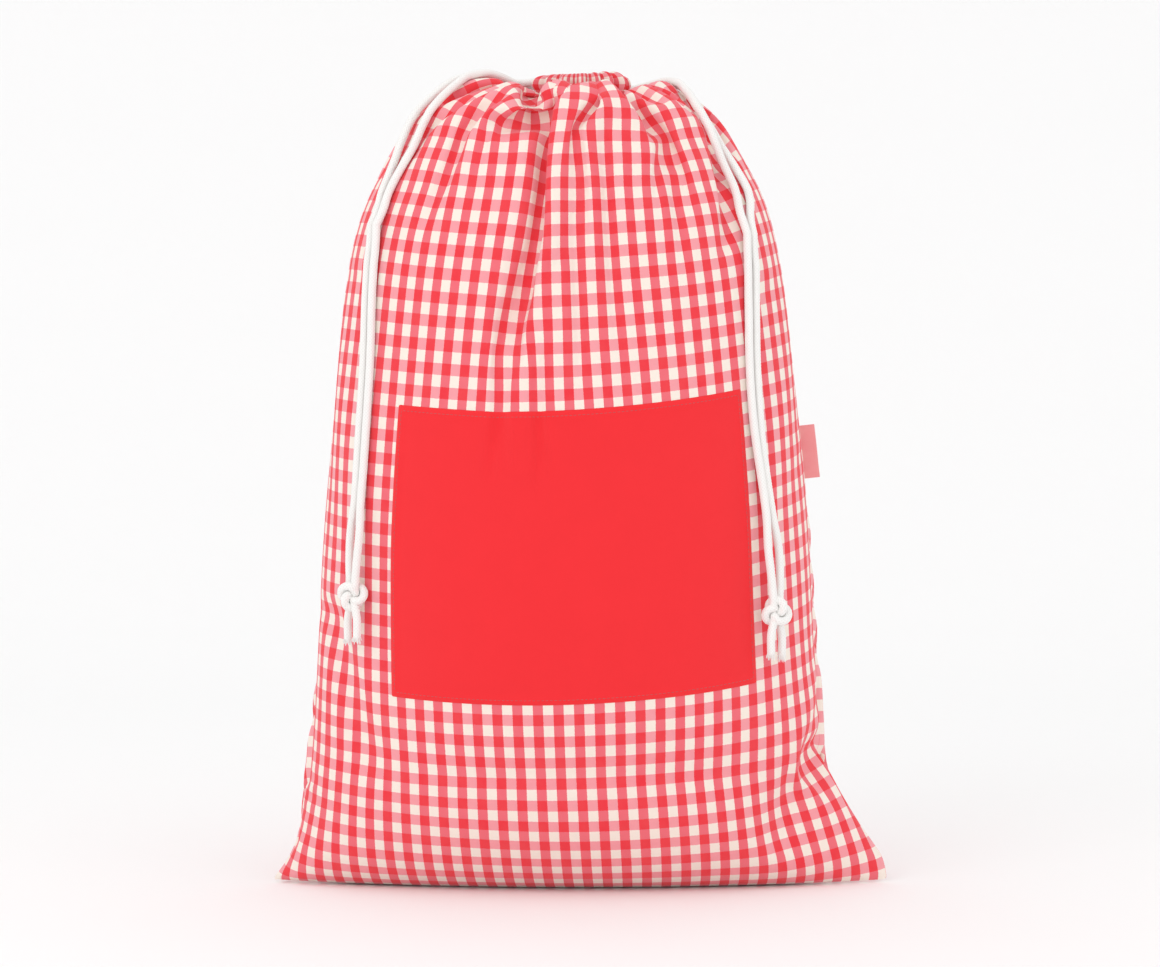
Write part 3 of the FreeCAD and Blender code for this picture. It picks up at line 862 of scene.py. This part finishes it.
def smooth_path(points):
    """Evenly spaced points on a smooth curve through the given points."""
    knots = np.array([tuple(point) for point in points])
    padded = np.vstack([2 * knots[0] - knots[1], knots, 2 * knots[-1] - knots[-2]])
    share = np.linspace(0, 1, 24, endpoint=False)[:, None]
    parts = []
    for p0, p1, p2, p3 in zip(padded, padded[1:], padded[2:], padded[3:]):
        bend = 2 * p0 - 5 * p1 + 4 * p2 - p3
        twist = -p0 + 3 * p1 - 3 * p2 + p3
        parts.append(0.5 * (2 * p1 + (p2 - p0) * share + bend * share**2 + twist * share**3))
    return even_spacing(np.vstack(parts + [knots[-1:]]), SPACING)


def round_off(line, radius):
    """A line lengthened by half a ball at each end, and the share of full thickness along it."""
    bulge = np.radians([80, 60, 40, 20])
    rear = (line[0] - line[1]) / np.linalg.norm(line[0] - line[1])
    ahead = (line[-1] - line[-2]) / np.linalg.norm(line[-1] - line[-2])
    first = line[0] + np.sin(bulge)[:, None] * rear * radius
    last = line[-1] + np.sin(bulge[::-1])[:, None] * ahead * radius
    thick = np.concatenate([np.cos(bulge), np.ones(len(line)), np.cos(bulge[::-1])])
    return np.vstack([first, line, last]), thick


def frames_along(line):
    """Two directions square to a line at each of its points that don't twist round it."""
    heading = np.gradient(line, axis=0)
    heading /= np.maximum(np.linalg.norm(heading, axis=1, keepdims=True), 1e-12)
    side = np.cross(heading[0], [0.31, 0.95, 0.05])
    sides = []
    for direction in heading:
        side = side - direction * (side @ direction)
        side = side / np.linalg.norm(side)
        sides.append(side)
    return np.array(sides), np.cross(heading, sides)


def braid(name, lines, radius=CORD_RADIUS):
    """Braided cord with round ends along some lines, as one piece."""
    angle = np.arange(CORD_SIDES + 1) / CORD_SIDES * 2 * math.pi
    points, faces, flat = [], [], []
    for line in lines:
        line, thick = round_off(line, radius)
        first, second = frames_along(line)
        turns = run_along(*line.T) / (2 * math.pi * radius)
        twist = turns[:, None] * 2 * math.pi
        relief = np.cos(BRAID_STRANDS * (angle + twist)) * np.cos(BRAID_STRANDS * (angle - twist))
        reach = radius * thick[:, None] * (0.96 + 0.05 * relief)
        ring = (
            line[:, None, :]
            + (reach * np.cos(angle))[..., None] * first[:, None, :]
            + (reach * np.sin(angle))[..., None] * second[:, None, :]
        )
        base, count = len(points), CORD_SIDES + 1
        points.extend(ring.reshape(-1, 3))
        faces += [
            tuple(base + corner for corner in face) for face in grid_faces(len(line), count)
        ]
        last = base + (len(line) - 1) * count
        faces.append(tuple(base + corner for corner in reversed(range(CORD_SIDES))))
        faces.append(tuple(last + corner for corner in range(CORD_SIDES)))
        around = np.broadcast_to(np.arange(count) / CORD_SIDES, (len(line), count))
        along = np.broadcast_to(turns[:, None], (len(line), count))
        flat.extend(np.stack([around, along], axis=-1).reshape(-1, 2))
    piece = new_piece(name, points, faces, CORD)
    set_uv(piece, flat)
    return piece


CLOTH = search_tree(bpy.data.objects["front_panel_cloth"], bpy.data.objects["back_panel_cloth"])
# rays start this far out from the middle of the sack, well clear of it
RAY = 0.5
# a cord moves with its neighbourhood: the most needed over some points, then averaged over more
NEAR_POINTS = 17
EVEN_POINTS = 33
FREED_POINTS = 25


def lie_on_cloth(line, hug=2 * MM):
    """The line moved out to clear the settled cloth, or in toward it by hug at the most."""
    short, aways = np.zeros(len(line)), np.zeros(line.shape)
    for spot, place in enumerate(line):
        centre = Vector((LEAN, 0, min(place[2], NECK - 60 * MM)))
        offset = Vector(place) - centre
        away = offset.normalized()
        hit = CLOTH.ray_cast(centre + away * RAY, -away)[0]
        surface = (hit - centre).dot(away) if hit else 0
        if surface > 0:
            short[spot] = surface + CORD_RADIUS + 0.8 * MM - offset.length
        aways[spot] = away
    short = np.maximum(short, -hug)
    longer = np.pad(short, (NEAR_POINTS + EVEN_POINTS) // 2 - 1, mode="edge")
    most = sliding_window_view(longer, NEAR_POINTS).max(axis=1)
    move = sliding_window_view(most, EVEN_POINTS).mean(axis=1)
    # both ends stay where they are
    number = np.arange(len(line))
    freed = smooth_step(number / FREED_POINTS) * smooth_step(number[::-1] / FREED_POINTS)
    return even_spacing(line + aways * (move * freed)[:, None], SPACING)


def hang_place(cord):
    """Point where a cord turns to hang, and the level direction toward the front beside it."""
    joint = JOINTS[f"{cord}_cord_swing_out"]
    axis = Vector(joint["axis"])
    return Vector(joint["pos_m"]), (axis if axis.y < 0 else -axis)


def ring_place(cord, angle, toward):
    """Point on a cord's ring inside the hem; angle from its exit side, toward 1 is the front."""
    side, layer = CORDS[cord]
    turn = math.radians(angle)
    x = side * HEM_RADIUS * math.cos(turn)
    y = -toward * HEM_RADIUS * math.sin(turn)
    return Vector((x, y, HEM_MIDDLE + layer * CORD_LEVEL))


def level_place(cord, level, angle):
    """Point beside the filled shape at a height; angle from the side seam toward the front."""
    width, depth = half_sizes(level)
    turn = math.radians(angle)
    away = CORD_RADIUS + 2 * MM
    x = LEAN + CORDS[cord][0] * (width + away) * math.cos(turn)
    return Vector((x, -(depth + away) * math.sin(turn), level + away))


def shoulder_line(cord, strand):
    """Line of one strand from the ring to where it hangs; strand is 1 front, -1 back."""
    side = CORDS[cord][0]
    hang, forward = hang_place(cord)
    inside = ring_place(cord, EXIT_ANGLE + 12, strand)
    start = ring_place(cord, EXIT_ANGLE, strand)
    turn = Vector((side * (HEM_RADIUS + 1.5 * CORD_RADIUS), -strand * 2.4 * CORD_RADIUS, start.z))
    meet = Vector((side * (HEM_RADIUS + 4.5 * CORD_RADIUS), -strand * 1.3 * CORD_RADIUS, start.z))
    dome = Vector((side * 2.1 * HEM_RADIUS, -(5.6 + 1.3 * strand) * CORD_RADIUS, start.z))
    collar = level_place(cord, 0.965 * NECK, 30 + 4 * strand)
    shoulder = level_place(cord, 0.885 * NECK, 29 + 2.2 * strand)
    end = hang + forward * strand * STRAND_APART
    bend = end.lerp(shoulder, 0.35)
    line = smooth_path([inside, start, turn, meet, dome, collar, shoulder, bend, end])
    first = int(np.argmin(np.linalg.norm(line - np.array(start), axis=1)))
    return lie_on_cloth(line[first:])


def cord_ring(cord):
    """The two runs of one cord inside the hem."""
    for toward, half_name in ((1, "front"), (-1, "back")):
        arc = [ring_place(cord, angle, toward) for angle in np.linspace(EXIT_ANGLE, 180, 40)]
        piece = braid(f"{cord}_cord_{half_name}_run_braid", [smooth_path(arc)])
        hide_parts(f"{cord}_cord_{half_name}_run")
        mouth_blend(piece)


def cord_shoulder(cord):
    """Both strands of a cord from the hem over the shoulder; the rear one starts behind."""
    front_line, rear_line = (shoulder_line(cord, strand) for strand in (1, -1))
    crossing = int(np.nonzero(rear_line[:, 1] < 0)[0][0])
    shoulder = braid(f"{cord}_cord_shoulder_braid", [front_line, rear_line[crossing:]])
    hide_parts(f"{cord}_cord_shoulder_strands")
    mouth_blend(shoulder)
    mouth_blend(braid(f"{cord}_cord_outlet_braid", [rear_line[: crossing + 1]]))


def knot_size(cord):
    """Middle and half height of a cord's knot."""
    low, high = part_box(f"{cord}_cord_knot")
    return (low + high) / 2, (high.z - low.z) / 2


def hanging_line(cord, strand):
    """One strand from its turning point down into the knot."""
    hang, forward = hang_place(cord)
    knot, half = knot_size(cord)
    points = []
    for part in np.linspace(0, 1, 14):
        point = hang.lerp(knot + Vector((0, 0, half * 0.5)), float(part))
        point.x = hang.x + (knot.x - hang.x) * float(smooth_step((part - 0.3) / 0.7))
        # the strands part in a small loop just above the knot
        loop = 3.5 * MM * math.exp(-(((part - 0.87) / 0.08) ** 2))
        apart = STRAND_APART * (1 - 0.2 * part) + loop
        points.append(point + forward * strand * apart)
    return lie_on_cloth(smooth_path(points), hug=0)


def cord_hanging(cord):
    """Both strands hanging from the shoulder to the knot."""
    piece = braid(f"{cord}_cord_hanging_braid", [hanging_line(cord, strand) for strand in (1, -1)])
    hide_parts(f"{cord}_cord_hanging_strands")
    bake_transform(piece)


def cord_knot(cord):
    """Pulled-tight overhand knot that joins the two strands."""
    middle, half = knot_size(cord)
    turn = np.linspace(0, 2 * math.pi, 120)
    wide, thin = 0.5 * half, 0.26 * half
    reach = wide + thin * np.cos(3 * turn)
    loops = zip(reach * np.cos(2 * turn), thin * 1.15 * np.sin(3 * turn), reach * np.sin(2 * turn))
    lean = Matrix.Rotation(math.radians(25 * CORDS[cord][0]), 3, "Y")
    line = np.array([middle + lean @ Vector(place) for place in loops])
    piece = braid(f"{cord}_cord_knot_braid", [even_spacing(line, SPACING)])
    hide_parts(f"{cord}_cord_knot")
    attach(piece, f"{cord}_cord_end")


def tail_line(cord, strand):
    """One cut end below the knot."""
    middle, half = knot_size(cord)
    forward = hang_place(cord)[1]
    top = middle + forward * strand * 2.5 * MM - Vector((0, 0, half * 0.4))
    low = middle + forward * strand * 6.5 * MM
    low.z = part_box(f"{cord}_cord_tails")[0].z + (5 + strand) * MM
    bow = (top + low) / 2 + forward * strand * 2 * MM
    return smooth_path([top, bow, low])


def cord_tails(cord):
    """The two cut ends below the knot, with their yarns coming loose."""
    lines = [tail_line(cord, strand) for strand in (1, -1)]
    piece = braid(f"{cord}_cord_tail_braid", lines)
    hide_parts(f"{cord}_cord_tails")
    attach(piece, f"{cord}_cord_end")
    ends = []
    for line in lines:
        heading = (line[-1] - line[-3]) / np.linalg.norm(line[-1] - line[-3])
        for number in range(YARNS):
            around = 2.4 * number
            out = CORD_RADIUS * math.sqrt((number + 0.5) / YARNS)
            spread = np.array([math.cos(around), math.sin(around), 0]) * out
            length = (5.5 + 1.5 * math.sin(5 * number)) * MM
            ends.append((line[-1] + spread * 0.8, line[-1] + spread * 1.25 + heading * length))
    ups = [np.array([0.0, 1.0, 0.0])] * len(ends)
    fray = slivers(f"{cord}_cord_fray", ends, ups, YARN_RADIUS, CORD)
    set_uv(fray, np.zeros((len(fray.data.vertices), 2)))
    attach(fray, f"{cord}_cord_end")


for cord in CORDS:
    cord_ring(cord)
    cord_shoulder(cord)
    cord_hanging(cord)
    cord_knot(cord)
    cord_tails(cord)


# ---- label and inner seams ------------------------------------------------------------------

LABEL_ROWS = 15


def side_label():
    """Ribbon folded in half, sewn into the right-hand side seam."""
    joint = JOINTS["label_flap"]
    root = np.array(joint["pos_m"])
    rise = np.array(joint["axis"])
    out = np.cross([0, 1, 0], rise)
    reach = 0.75 * (label_high.x - root[0])
    length = (label_high.z - label_low.z) * 0.97
    # half of the folded outline: root, three places along, the fold; then mirrored
    near = [(-4 * MM, 0.45 * MM)]
    for share in (0.2, 0.5, 0.8):
        near.append((reach * share, (0.45 + 0.3 * math.sin(math.pi * share)) * MM))
    near += [(reach, 0.35 * MM), (reach + 0.4 * MM, 0)]
    profile = [(away, -gap) for away, gap in near] + [(away, gap) for away, gap in near[-2::-1]]
    points, flat = [], []
    for row in range(LABEL_ROWS):
        share = row / (LABEL_ROWS - 1)
        wave = 0.7 * MM * math.sin(2.4 * math.pi * share)
        for spot, (away, gap) in enumerate(profile):
            sway = gap + wave * max(away, 0) / reach
            points.append(root + rise * length * share + out * away + np.array([0, sway, 0]))
            flat.append((spot / len(profile), share))
    faces = grid_faces(LABEL_ROWS, len(profile))
    piece = new_piece("side_label_ribbon", points, faces, SATIN)
    set_uv(piece, flat)
    refine(piece, 2)
    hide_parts("side_label")
    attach(piece, "label")


ALLOWANCE = 9 * MM
PLY = 0.5 * MM
LOOP_PITCH = 2.5 * MM
LOOP_RADIUS = 0.3 * MM
SIDE_SEAM_ROWS = slice(26, ROWS - 12)
BOTTOM_SEAM_COLUMNS = slice(14, HALF - 14)


def seam_edge(name, line, inward, node):
    """Overlocked edge inside the sack along one seam, with its looping thread."""
    offsets = ((1 * MM, -PLY), (ALLOWANCE, -PLY), (ALLOWANCE, PLY), (1 * MM, PLY))
    strip = np.array([line + inward * out + np.array([0, over, 0]) for out, over in offsets])
    numbers = np.arange(len(line))
    piece = new_piece(
        name, strip.reshape(-1, 3), grid_faces(4, len(line)), CHECKED
    )
    set_uv(piece, np.stack(np.meshgrid(numbers / 6, np.arange(4) / 2), axis=-1).reshape(-1, 2))
    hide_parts(node)
    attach(piece, "sack")
    out = np.where(numbers % 2 == 0, ALLOWANCE * 0.45, ALLOWANCE + 0.5 * MM)
    over = np.where(numbers % 4 < 2, -1.5 * PLY, 1.5 * PLY)
    zigzag = line + inward * out[:, None] + np.outer(over, [0, 1, 0])
    ends = list(zip(zigzag[:-1], zigzag[1:]))
    ups = [np.array([0.0, 1.0, 0.0])] * len(ends)
    loops = slivers(f"{name}_thread", ends, ups, LOOP_RADIUS, WHITE_THREAD)
    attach(loops, "sack")


def inner_seams():
    """Overlocked edges up both sides and along the bottom."""
    for name, column, toward in (("left", 0, 1.0), ("right", HALF, -1.0)):
        line = even_spacing(cloth[SIDE_SEAM_ROWS, column], LOOP_PITCH)
        seam_edge(f"{name}_seam_edge", line, np.array([toward, 0, 0]), f"{name}_seam_overlock")
    line = even_spacing(cloth[0, BOTTOM_SEAM_COLUMNS], LOOP_PITCH)
    seam_edge("bottom_seam_edge", line, np.array([0, 0, 1.0]), "bottom_seam_overlock")


side_label()
inner_seams()


# ---- floor, light and camera ----------------------------------------------------------------

VIEW_HEIGHT = 0.324
CAMERA_HEIGHT = 0.40
CAMERA_AWAY = 2.6
VIEW_WIDTH = 0.94


def studio_floor():
    """Plain pale floor that curves up into a backdrop behind the sack."""
    curve = np.radians(np.arange(0, 91, 10))
    profile = [(-4.0, 0.0)]
    profile += [(1.5 + math.sin(angle), 1 - math.cos(angle)) for angle in curve]
    profile.append((2.5, 4.0))
    points = [(side * 5, y, z) for side in (-1, 1) for y, z in profile]
    count = len(profile)
    faces = [(i, count + i, count + i + 1, i + 1) for i in range(count - 1)]
    shader = Shader("studio_paper", 0.9, 0.0)
    mesh = bpy.data.meshes.new("studio_floor")
    mesh.from_pydata(points, [], faces)
    mesh.materials.append(shader.finish((0.95, 0.95, 0.95, 1)))
    mesh.polygons.foreach_set("use_smooth", [True] * len(mesh.polygons))
    floor = bpy.data.objects.new("studio_floor", mesh)
    bpy.context.scene.collection.objects.link(floor)


def aimed(holder, place):
    """Put a lamp or camera at a place, looking at the middle of the sack."""
    holder.location = place
    aim = Vector((0, 0, VIEW_HEIGHT)) - Vector(place)
    holder.rotation_euler = aim.to_track_quat("-Z", "Y").to_euler()
    bpy.context.scene.collection.objects.link(holder)


def soft_light(name, place, power, size):
    """Large soft lamp."""
    lamp = bpy.data.lights.new(name, "AREA")
    lamp.energy = power
    lamp.size = size
    aimed(bpy.data.objects.new(name, lamp), place)


def studio():
    """Surroundings, lamps and the camera."""
    scene = bpy.context.scene
    world = bpy.data.worlds.new("studio")
    scene.world = world
    world.use_nodes = True
    background = world.node_tree.nodes["Background"]
    background.inputs["Color"].default_value = (1, 1, 1, 1)
    background.inputs["Strength"].default_value = 1.0
    scene.view_settings.view_transform = "Standard"
    studio_floor()
    soft_light("key", (-1.3, -1.9, 1.7), 8, 1.4)
    soft_light("fill", (1.7, -1.6, 1.0), 2, 1.6)
    lens = bpy.data.cameras.new("camera")
    lens.sensor_width = 36
    lens.lens = lens.sensor_width * CAMERA_AWAY / VIEW_WIDTH
    camera = bpy.data.objects.new("camera", lens)
    aimed(camera, (0, -CAMERA_AWAY, CAMERA_HEIGHT))
    scene.camera = camera


studio()
